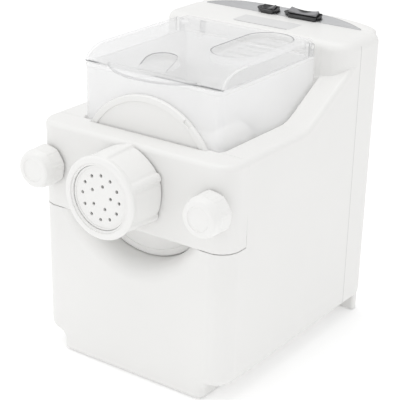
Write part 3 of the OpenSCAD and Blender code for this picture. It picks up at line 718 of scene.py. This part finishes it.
def plastic(name, base, rough=0.4, vary=0.012, grain=900, bump=0.015, spec=0.45, coat=0.0, metal=0.0):
    """Moulded plastic or metal: slow colour drift, fine grain in the gloss and in the surface."""
    m, nt, p = new_mat(name)
    tc = node(nt, "ShaderNodeTexCoord")
    slow = node(nt, "ShaderNodeTexNoise", Scale=14.0, Detail=3.0, Roughness=0.5)
    nt.links.new(tc.outputs["Object"], slow.inputs["Vector"])
    lo = tuple(max(0, c - vary) for c in base)
    hi = tuple(min(1, c + vary) for c in base)
    col = ramp_of(nt, slow.outputs["Fac"], [(0.3, lo), (0.7, hi)])
    nt.links.new(col.outputs["Color"], p.inputs["Base Color"])
    fine = node(nt, "ShaderNodeTexNoise", Scale=float(grain), Detail=4.0, Roughness=0.6)
    nt.links.new(tc.outputs["Object"], fine.inputs["Vector"])
    mr = node(nt, "ShaderNodeMapRange")
    mr.inputs["To Min"].default_value = max(0.02, rough - 0.06)
    mr.inputs["To Max"].default_value = min(1.0, rough + 0.06)
    nt.links.new(fine.outputs["Fac"], mr.inputs["Value"])
    nt.links.new(mr.outputs["Result"], p.inputs["Roughness"])
    b = node(nt, "ShaderNodeBump", Strength=float(bump) * 10, Distance=0.00004)
    nt.links.new(fine.outputs["Fac"], b.inputs["Height"])
    nt.links.new(b.outputs["Normal"], p.inputs["Normal"])
    p.inputs["Specular IOR Level"].default_value = spec
    p.inputs["Metallic"].default_value = metal
    if coat:
        p.inputs["Coat Weight"].default_value = coat
        p.inputs["Coat Roughness"].default_value = 0.12
    return m


def shell_mat():
    """White moulded shell, with a thin darker line down each side towards the back, and painted light that whitens the
    well under the bowl.
    """
    m = plastic("white_shell", (0.815, 0.812, 0.800), rough=0.42, vary=0.006, grain=1400, bump=0.012)
    nt = m.node_tree
    p = nt.nodes["Principled BSDF"]
    tc = next(n for n in nt.nodes if n.type == "TEX_COORD")
    sep = node(nt, "ShaderNodeSeparateXYZ")
    nt.links.new(tc.outputs["Object"], sep.inputs["Vector"])
    geo = node(nt, "ShaderNodeNewGeometry")
    sepn = node(nt, "ShaderNodeSeparateXYZ")
    nt.links.new(geo.outputs["Normal"], sepn.inputs["Vector"])
    nx = node(nt, "ShaderNodeMath", operation="ABSOLUTE")
    nt.links.new(sepn.outputs["X"], nx.inputs[0])
    side = node(nt, "ShaderNodeMath", operation="GREATER_THAN")
    side.inputs[1].default_value = 0.9
    nt.links.new(nx.outputs[0], side.inputs[0])
    dy = node(nt, "ShaderNodeMath", operation="SUBTRACT")
    dy.inputs[1].default_value = (214.0 - YM) * 0.001
    nt.links.new(sep.outputs["Y"], dy.inputs[0])
    ab = node(nt, "ShaderNodeMath", operation="ABSOLUTE")
    nt.links.new(dy.outputs[0], ab.inputs[0])
    line = node(nt, "ShaderNodeMapRange", interpolation_type="SMOOTHSTEP")
    line.inputs["From Min"].default_value = 0.00025
    line.inputs["From Max"].default_value = 0.0007
    line.inputs["To Min"].default_value = 1.0
    line.inputs["To Max"].default_value = 0.0
    nt.links.new(ab.outputs[0], line.inputs["Value"])
    mask = node(nt, "ShaderNodeMath", operation="MULTIPLY")
    nt.links.new(line.outputs["Result"], mask.inputs[0])
    nt.links.new(side.outputs[0], mask.inputs[1])
    mix = node(nt, "ShaderNodeMix", data_type="RGBA")
    old = p.inputs["Base Color"].links[0].from_socket
    nt.links.new(mask.outputs[0], mix.inputs["Factor"])
    nt.links.new(old, mix.inputs[6])
    mix.inputs[7].default_value = (0.60, 0.60, 0.585, 1)
    # the well under the bowl is painted a shade whiter: painted light against the shade deep in the trough
    x, y, z = place_of(nt, tc)
    well_painted_light = abs(x).fade(80.6, 81.6) * abs(y - 109.0).fade(80.6, 81.6) * z.fade(232.0, 226.0).do("SUBTRACT", 1.0, swap=True)
    well_light_mix = node(nt, "ShaderNodeMix", data_type="RGBA")
    nt.links.new(well_painted_light.sock, well_light_mix.inputs["Factor"])
    nt.links.new(mix.outputs[2], well_light_mix.inputs[6])
    # painted light: the well's colour raised to near white
    well_light_mix.inputs[7].default_value = (0.93, 0.93, 0.925, 1)
    nt.links.new(well_light_mix.outputs[2], p.inputs["Base Color"])
    return m


class Expr:
    """A number in a node tree, so that outlines can be written as sums."""

    def __init__(self, nt, sock):
        self.nt, self.sock = nt, sock

    def do(self, op, other=None, swap=False, clamp=False):
        n = node(self.nt, "ShaderNodeMath", operation=op, use_clamp=clamp)
        a, b = (1, 0) if swap else (0, 1)
        self.nt.links.new(self.sock, n.inputs[a])
        if isinstance(other, Expr):
            self.nt.links.new(other.sock, n.inputs[b])
        elif other is not None:
            n.inputs[b].default_value = other
        return Expr(self.nt, n.outputs[0])

    def __add__(self, o): return self.do("ADD", o)
    def __sub__(self, o): return self.do("SUBTRACT", o)
    def __rsub__(self, o): return self.do("SUBTRACT", o, swap=True)
    def __mul__(self, o): return self.do("MULTIPLY", o)
    def __truediv__(self, o): return self.do("DIVIDE", o)
    def __abs__(self): return self.do("ABSOLUTE")
    def root(self): return self.do("SQRT")
    def big(self, o): return self.do("MAXIMUM", o)
    def small(self, o): return self.do("MINIMUM", o)

    def fade(self, a, b):
        """1 at a and beyond, 0 at b and beyond."""
        m = node(self.nt, "ShaderNodeMapRange", interpolation_type="SMOOTHSTEP")
        self.nt.links.new(self.sock, m.inputs["Value"])
        lo, hi, t0, t1 = (a, b, 1, 0) if a < b else (b, a, 0, 1)
        m.inputs["From Min"].default_value = lo
        m.inputs["From Max"].default_value = hi
        m.inputs["To Min"].default_value = t0
        m.inputs["To Max"].default_value = t1
        return Expr(self.nt, m.outputs["Result"])


def place_of(nt, tc):
    """x, y, z of the piece in millimetres, as the shape functions count them."""
    sep = node(nt, "ShaderNodeSeparateXYZ")
    nt.links.new(tc.outputs["Object"], sep.inputs["Vector"])
    x, y, z = (Expr(nt, sep.outputs[a]) * 1000.0 for a in "XYZ")
    return x, y + YM, z


def lid_painted_edges(x, y, z):
    """Painted shade along the lid's outlines: left side, front rim, curved front lip, pour recess, thumb scoop, rear
    step; and a painted highlight along the right side of the front roll.
    """
    ey, ez = (62.0 - y).big(0.0) / 29.6, (z - 287.2) / 14.3
    e = ((ey * ey + ez * ez).root() - 1.0) * 14.0
    skin = e.fade(-0.5, -1.2)
    # painted shade on the left side only; the right side gets the painted highlight below
    side = x.fade(-78.3, -77.6) * e.fade(-0.2, -0.9) * y.fade(44.0, 62.0)
    rim = z.fade(287.8, 288.5) * abs(y - 33.0).fade(1.4, 2.4) * (abs(x + 30.0).fade(36.0, 26.0) * 0.75 + 0.25)
    lip = (x * x + (y - 83.0) * (y - 83.0)).root() - 71.0
    lip = abs(lip + 0.3).fade(0.4, 1.1) * z.fade(289.7, 290.2) * y.fade(34.0, 37.0) * abs(x).fade(58.0, 61.0) * 0.5
    q = (abs(y - 132.0) - 26.0).big(0.0)
    q = ((x - 41.5) * (x - 41.5) + q * q).root()
    cup = abs(q - 23.9).fade(0.35, 1.0) * z.fade(300.6, 299.6) * ((x - y * 0.35).fade(4.0, 14.0) * 0.55 + 0.35)
    s = ((x / 15.5) * (x / 15.5) + ((y - 44.0).big(0.0) / 17.0) * ((y - 44.0).big(0.0) / 17.0)).root()
    arc = abs((s - 1.0) * 15.5 + 0.1).fade(0.2, 0.9) * skin * y.fade(37.0, 32.0) * 0.8
    back = abs(abs(x) - 78.0).fade(0.5, 1.0) * abs(y - 172.6).fade(0.3, 1.0) * 0.8
    # painted highlight along the right side of the front roll
    gleam = x.fade(77.0, 74.0) * e.fade(-0.6, -1.4) * y.fade(66.0, 84.0) * 0.8
    return side.big(rim).big(lip).big(cup).big(arc).big(back), gleam


def bowl_painted_rim(x, y, z):
    """Painted shade along the bowl's top rim, fading out towards the front."""
    return z.fade(286.3, 285.6) * y.fade(60.0, 34.0) * 0.3, None


def clear_mat(name, tint, body_alpha, rim_alpha, painted_edges):
    """Clear plastic: faintly milky, denser where a wall is seen at a grazing angle; painted shade darkens its colour at
    grazing angles and along the given outline masks, and a painted highlight lightens it along an optional gleam mask.
    """
    m, nt, p = new_mat(name)
    tc = node(nt, "ShaderNodeTexCoord")
    lw = node(nt, "ShaderNodeLayerWeight", Blend=0.35)
    alpha = node(nt, "ShaderNodeMapRange", interpolation_type="SMOOTHSTEP")
    alpha.inputs["From Min"].default_value = 0.35
    alpha.inputs["From Max"].default_value = 0.95
    alpha.inputs["To Min"].default_value = body_alpha
    alpha.inputs["To Max"].default_value = rim_alpha
    nt.links.new(lw.outputs["Facing"], alpha.inputs["Value"])
    edge_shade, gleam = painted_edges(*place_of(nt, tc))
    a = Expr(nt, alpha.outputs["Result"]).big(edge_shade * 0.85)
    if gleam:
        a = a.big(gleam * 0.6)
    nt.links.new(a.sock, p.inputs["Alpha"])
    haze = node(nt, "ShaderNodeTexNoise", Scale=22.0, Detail=3.0, Roughness=0.5)
    nt.links.new(tc.outputs["Object"], haze.inputs["Vector"])
    lo = tuple(c - 0.012 for c in tint)
    hi = tuple(min(1, c + 0.012) for c in tint)
    col = ramp_of(nt, haze.outputs["Fac"], [(0.3, lo), (0.7, hi)])
    # painted shade: colour darkened where a wall is seen at a grazing angle
    dark = ramp_of(nt, lw.outputs["Facing"], [(0.86, (1, 1, 1)), (0.99, (0.62, 0.63, 0.64))])
    mix = node(nt, "ShaderNodeMix", data_type="RGBA", blend_type="MULTIPLY")
    mix.inputs["Factor"].default_value = 1.0
    nt.links.new(col.outputs["Color"], mix.inputs[6])
    nt.links.new(dark.outputs["Color"], mix.inputs[7])
    # painted shade: near-black along the outline masks
    edge_shade_mix = node(nt, "ShaderNodeMix", data_type="RGBA")
    nt.links.new(edge_shade.sock, edge_shade_mix.inputs["Factor"])
    nt.links.new(mix.outputs[2], edge_shade_mix.inputs[6])
    # painted highlight: near-white along the gleam mask
    if gleam:
        shine = node(nt, "ShaderNodeMix", data_type="RGBA")
        nt.links.new(gleam.sock, shine.inputs["Factor"])
        nt.links.new(mix.outputs[2], shine.inputs[6])
        shine.inputs[7].default_value = (0.97, 0.97, 0.97, 1)
        nt.links.new(shine.outputs[2], edge_shade_mix.inputs[6])
    edge_shade_mix.inputs[7].default_value = (0.16, 0.165, 0.17, 1)
    nt.links.new(edge_shade_mix.outputs[2], p.inputs["Base Color"])
    fine = node(nt, "ShaderNodeTexNoise", Scale=260.0, Detail=2.0)
    nt.links.new(tc.outputs["Object"], fine.inputs["Vector"])
    mr = node(nt, "ShaderNodeMapRange")
    mr.inputs["To Min"].default_value = 0.05
    mr.inputs["To Max"].default_value = 0.13
    nt.links.new(fine.outputs["Fac"], mr.inputs["Value"])
    nt.links.new(mr.outputs["Result"], p.inputs["Roughness"])
    b = node(nt, "ShaderNodeBump", Strength=0.08, Distance=0.0002)
    nt.links.new(haze.outputs["Fac"], b.inputs["Height"])
    nt.links.new(b.outputs["Normal"], p.inputs["Normal"])
    p.inputs["Specular IOR Level"].default_value = 0.5
    p.inputs["IOR"].default_value = 1.49
    return m


def switch_mat(name, side, top, level):
    """Dark moulding whose finger pad, above level on the slant, is painted a paler grey as a painted sky reflection on
    the upturned pad.
    """
    m = plastic(name, side, rough=0.34, vary=0.006, grain=1600, bump=0.02, spec=0.3)
    nt = m.node_tree
    p = nt.nodes["Principled BSDF"]
    x, y, z = place_of(nt, next(n for n in nt.nodes if n.type == "TEX_COORD"))
    n = (z - TOP) * C30 - (y - 249.0) * S30
    # painted reflection: the pad's paler grey, mottled by noise
    pad_sheen_noise = node(nt, "ShaderNodeTexNoise", Scale=220.0, Detail=2.0)
    nt.links.new(next(n for n in nt.nodes if n.type == "TEX_COORD").outputs["Object"], pad_sheen_noise.inputs["Vector"])
    pad = n.fade(level + 0.5, level - 0.3) * (Expr(nt, pad_sheen_noise.outputs["Fac"]) * 0.35 + 0.8)
    mix = node(nt, "ShaderNodeMix", data_type="RGBA")
    old = p.inputs["Base Color"].links[0].from_socket
    nt.links.new(pad.sock, mix.inputs["Factor"])
    nt.links.new(old, mix.inputs[6])
    mix.inputs[7].default_value = (*top, 1)
    nt.links.new(mix.outputs[2], p.inputs["Base Color"])
    return m


def brushed(name, base, rough, scale):
    """Metal with a fine grain that runs along X."""
    m, nt, p = new_mat(name)
    tc = node(nt, "ShaderNodeTexCoord")
    mp = node(nt, "ShaderNodeMapping")
    mp.inputs["Scale"].default_value = scale
    nt.links.new(tc.outputs["Object"], mp.inputs["Vector"])
    noise = node(nt, "ShaderNodeTexNoise", Scale=60.0, Detail=5.0, Roughness=0.65)
    nt.links.new(mp.outputs["Vector"], noise.inputs["Vector"])
    lo = tuple(c * 0.9 for c in base)
    hi = tuple(min(1, c * 1.08) for c in base)
    col = ramp_of(nt, noise.outputs["Fac"], [(0.3, lo), (0.7, hi)])
    nt.links.new(col.outputs["Color"], p.inputs["Base Color"])
    mr = node(nt, "ShaderNodeMapRange")
    mr.inputs["To Min"].default_value = rough - 0.08
    mr.inputs["To Max"].default_value = rough + 0.1
    nt.links.new(noise.outputs["Fac"], mr.inputs["Value"])
    nt.links.new(mr.outputs["Result"], p.inputs["Roughness"])
    b = node(nt, "ShaderNodeBump", Strength=0.12, Distance=0.00003)
    nt.links.new(noise.outputs["Fac"], b.inputs["Height"])
    nt.links.new(b.outputs["Normal"], p.inputs["Normal"])
    p.inputs["Metallic"].default_value = 1.0
    return m


M = {
    "white_shell": shell_mat(),
    "white_part": plastic("white_part", (0.835, 0.832, 0.82), rough=0.36, vary=0.006, grain=1500, bump=0.01),
    "clear": clear_mat("clear", (0.882, 0.882, 0.884), 0.61, 0.7, bowl_painted_rim),
    "clear_lid": clear_mat("clear_lid", (0.815, 0.815, 0.82), 0.27, 0.55, lid_painted_edges),
    "silver_panel": brushed("silver_panel", (0.455, 0.458, 0.465), 0.42, (1.0, 30.0, 30.0)),
    "label_grey": plastic("label_grey", (0.69, 0.69, 0.69), rough=0.5, vary=0.01, grain=1800, bump=0.02),
    "switch_dark": plastic("switch_dark", (0.04, 0.04, 0.042), rough=0.3, vary=0.008, grain=1600, bump=0.02, spec=0.4),
    # the second colour of each switch pad is its painted sky reflection
    "power_pad": switch_mat("power_pad", (0.018, 0.018, 0.019), (0.15, 0.15, 0.155), 2.9),
    "mode_pad": switch_mat("mode_pad", (0.018, 0.018, 0.019), (0.27, 0.27, 0.28), 4.2),
    "steel": brushed("steel", (0.62, 0.62, 0.63), 0.3, (30.0, 1.0, 30.0)),
    "bronze": brushed("bronze", (0.66, 0.47, 0.24), 0.34, (1.0, 20.0, 20.0)),
    "gear_plastic": plastic("gear_plastic", (0.78, 0.77, 0.72), rough=0.45, vary=0.02, grain=900),
    "rubber_dark": plastic("rubber_dark", (0.03, 0.03, 0.031), rough=0.75, vary=0.008, grain=1200, bump=0.05, spec=0.3),
    "seal_grey": plastic("seal_grey", (0.32, 0.33, 0.34), rough=0.6, vary=0.01, grain=1200, bump=0.03),
    "laminations": brushed("laminations", (0.33, 0.34, 0.36), 0.5, (1.0, 60.0, 1.0)),
    "copper": brushed("copper", (0.72, 0.36, 0.18), 0.32, (1.0, 1.0, 40.0)),
    "cast_grey": plastic("cast_grey", (0.42, 0.43, 0.44), rough=0.5, vary=0.03, grain=500, bump=0.06, metal=0.8),
    "fan_dark": plastic("fan_dark", (0.05, 0.05, 0.055), rough=0.5, vary=0.01, grain=900),
    "board_green": plastic("board_green", (0.03, 0.17, 0.07), rough=0.35, vary=0.02, grain=700, coat=0.5),
    "plunger_grey": plastic("plunger_grey", (0.34, 0.34, 0.35), rough=0.42, vary=0.02, grain=900),
    "nylon_white": plastic("nylon_white", (0.86, 0.86, 0.85), rough=0.4, vary=0.01, grain=1100),
}


def wear(ob, mat):
    me = ob.data
    me.materials.clear()
    me.materials.append(M[mat])
    for p in me.polygons:
        p.material_index = 0
    return ob


# ---------------------------------------------------------------- pieces
wear(build("housing_shell", housing, (-114.1, -4.2, -0.9), (113, 267, 309), 1.5, "machine",
           ["housing"], keep=0.16), "white_shell")
wear(build("clamp_bar", front_bar, (-113.2, -4.3, 148.2), (113, 30.5, 236), 1.0, "machine",
           ["front_bar"], keep=0.2), "white_shell")
wear(build("disc_plate", front_disc, (-78.2, -36.6, 114.6), (78.5, 36, 271), 1.0, "machine",
           ["front_disc"], keep=0.25), "white_part")
wear(build("ring_nut", die_nut, (-43.4, -44.6, 149.6), (43.5, 0.5, 236.5), 0.7, "die_nut",
           ["die_nut"], keep=0.3), "white_part")
wear(build("extruding_die", die, (-34.4, -41.3, 158.5), (34.5, -34, 227.5), 0.5, "die",
           ["die"], keep=0.3), "white_part")
KR = wear(build("clamp_knob_right", knob, (-21.6, -26.3, -21.7), (21.7, -1, 21.7), 0.55, "knob_right",
                ["knob_right"], keep=0.35, at=(94.5, 0, 192)), "white_part")
copy_of(KR, "clamp_knob_left", (-189, 0, 0), "knob_left", ["knob_left"])
WR = wear(build("thrust_washer_right", washer, (-10.7, -2.3, -10.7), (10.7, 0.2, 10.7), 0.4, "washer_right",
                ["washer_right"], keep=0.4, at=(94.5, 0, 192)), "nylon_white")
copy_of(WR, "thrust_washer_left", (-189, 0, 0), "washer_left", ["washer_left"])
wear(build("clear_bowl", bowl, (-79.3, 28.2, 113.7), (79.5, 191, 301), 1.0, "machine",
           ["mixing_bowl"], keep=0.2), "clear")
wear(build("clear_lid", lid, (-80.1, 10.3, 285.6), (80.2, 194, 303), 0.75, "lid",
           ["lid"], keep=0.2), "clear_lid")
wear(build("silver_inlay", panel, (-96.7, 247.2, 295.3), (96.7, 263.2, 308.1), 0.4, "machine",
           ["control_panel"], keep=0.3), "silver_panel")
wear(build("grey_inlay", label, (-34.7, 205.6, 297.1), (34.9, 233.2, 300.3), 0.5, "machine",
           ["label_plate"], keep=0.3), "label_grey")
wear(build("power_bezel", switch_body(-20, 26.4, 11.2, 17.2, 7.6, -0.2), (-34.5, 245, 285.6), (-5.5, 265, 312), 0.4, "machine",
           ["power_switch_body"], keep=0.35), "switch_dark")
wear(build("mode_bezel", switch_body(22, 43.8, 12.2, 34.6, 8.6, -1.2), (-3.2, 245, 285.6), (44.2, 265, 312), 0.4, "machine",
           ["mode_switch_body"], keep=0.35), "switch_dark")
wear(build("power_button", rocker(-20, 8.1, 6.8, 4.6, -9), (-30, 246, 296), (-10, 264, 316), 0.35, "power_rocker",
           ["power_rocker"], keep=0.35), "power_pad")
wear(build("mode_button", rocker(22, 16.6, 7.8, 7.2, 0), (4, 246, 296), (40, 264, 318), 0.35, "mode_rocker",
           ["mode_rocker"], keep=0.35), "mode_pad")
wear(build("rear_panel", rear_cover, (-90.6, 256.4, 23.3), (90.8, 264.5, 279), 0.9, "machine",
           ["rear_cover"], keep=0.3), "white_shell")
wear(build("bottom_plate", base_plate, (-81.6, 1.4, 0.6), (82, 258.5, 5.5), 0.9, "machine",
           ["base_plate"], keep=0.3), "white_shell")
wear(build("soft_feet", feet, (-79, 33, -0.6), (79, 231, 7), 0.6, "machine",
           ["rubber_feet"], keep=0.3), "rubber_dark")
wear(build("cord_bush", gland, (49, 244, 37), (71, 261.5, 59), 0.45, "machine",
           ["cord_gland"], keep=0.35), "rubber_dark")

for name in ("clear_bowl", "clear_lid"):
    bpy.data.objects[name].visible_shadow = False
    bpy.data.objects[name].visible_diffuse = False

# carried-over pieces keep their CAD mesh and take a worked material
CARRY = {
    "clamp_studs": "steel", "knob_insert_left": "bronze", "knob_insert_right": "bronze",
    "disc_seal": "seal_grey", "shaft_seal": "seal_grey", "hinge_pins": "nylon_white", "auger": "nylon_white",
    "mixing_paddle": "nylon_white", "output_shaft": "steel", "output_gear": "gear_plastic",
    "idler_gear": "gear_plastic", "idler_pinion": "steel", "idler_shaft": "steel",
    "gearbox_front_plate": "steel", "gearbox_rear_plate": "steel", "gearbox_spacers": "steel",
    "shaft_bushes": "bronze", "motor_stator": "laminations", "motor_coils": "copper",
    "motor_brackets": "cast_grey", "motor_rotor": "laminations", "motor_shaft": "steel",
    "motor_pinion": "bronze", "motor_fan": "fan_dark", "motor_mounts": "rubber_dark",
    "control_board": "board_green", "board_parts": "switch_dark", "interlock_switch": "switch_dark",
    "interlock_plunger": "plunger_grey", "housing_screws": "steel",
}
for name, mat in CARRY.items():
    ob = NODES[name]
    while len(ob.material_slots) < 1:
        ob.data.materials.append(None)
    for s in ob.material_slots:
        s.material = M[mat]


# ---------------------------------------------------------------- floor and light
def plane(name, size, z, mat):
    me = bpy.data.meshes.new(name)
    s = size / 2
    me.from_pydata([(-s, -s, z), (s, -s, z), (s, s, z), (-s, s, z)], [], [(0, 1, 2, 3)])
    ob = bpy.data.objects.new(name, me)
    bpy.context.collection.objects.link(ob)
    me.materials.append(mat)
    return ob


floor_mat = plastic("floor", (0.90, 0.90, 0.90), rough=0.9, vary=0.003, grain=300, bump=0.0, spec=0.1)
lift = floor_mat.node_tree.nodes["Principled BSDF"]
lift.inputs["Emission Color"].default_value = (1, 1, 1, 1)
lift.inputs["Emission Strength"].default_value = 0.22
plane("floor", 16, -0.0002, floor_mat)


def area(name, loc, aim, size, power, colour=(1, 1, 1)):
    d = bpy.data.lights.new(name, "AREA")
    d.shape = "DISK"
    d.size = size
    d.energy = power
    d.color = colour
    o = bpy.data.objects.new(name, d)
    bpy.context.collection.objects.link(o)
    o.location = loc
    o.rotation_mode = "QUATERNION"
    o.rotation_quaternion = (Vector(aim) - Vector(loc)).to_track_quat("-Z", "Y")
    return o


world = bpy.data.worlds.new("studio")
scene.world = world
world.use_nodes = True
bg = world.node_tree.nodes["Background"]
bg.inputs["Color"].default_value = (1.0, 1.0, 1.0, 1)
bg.inputs["Strength"].default_value = 0.86
area("top", (-0.3, -0.2, 2.2), (0, 0, 0.15), 1.8, 10.5)
area("front_left", (-1.6, -1.9, 1.1), (0, 0, 0.15), 1.4, 3.6)
area("right", (2.2, -0.5, 1.2), (0, 0, 0.15), 1.4, 1.5)

scene.view_settings.view_transform = "Standard"
scene.view_settings.look = "None"
scene.view_settings.exposure = 0.0
scene.view_settings.gamma = 1.0
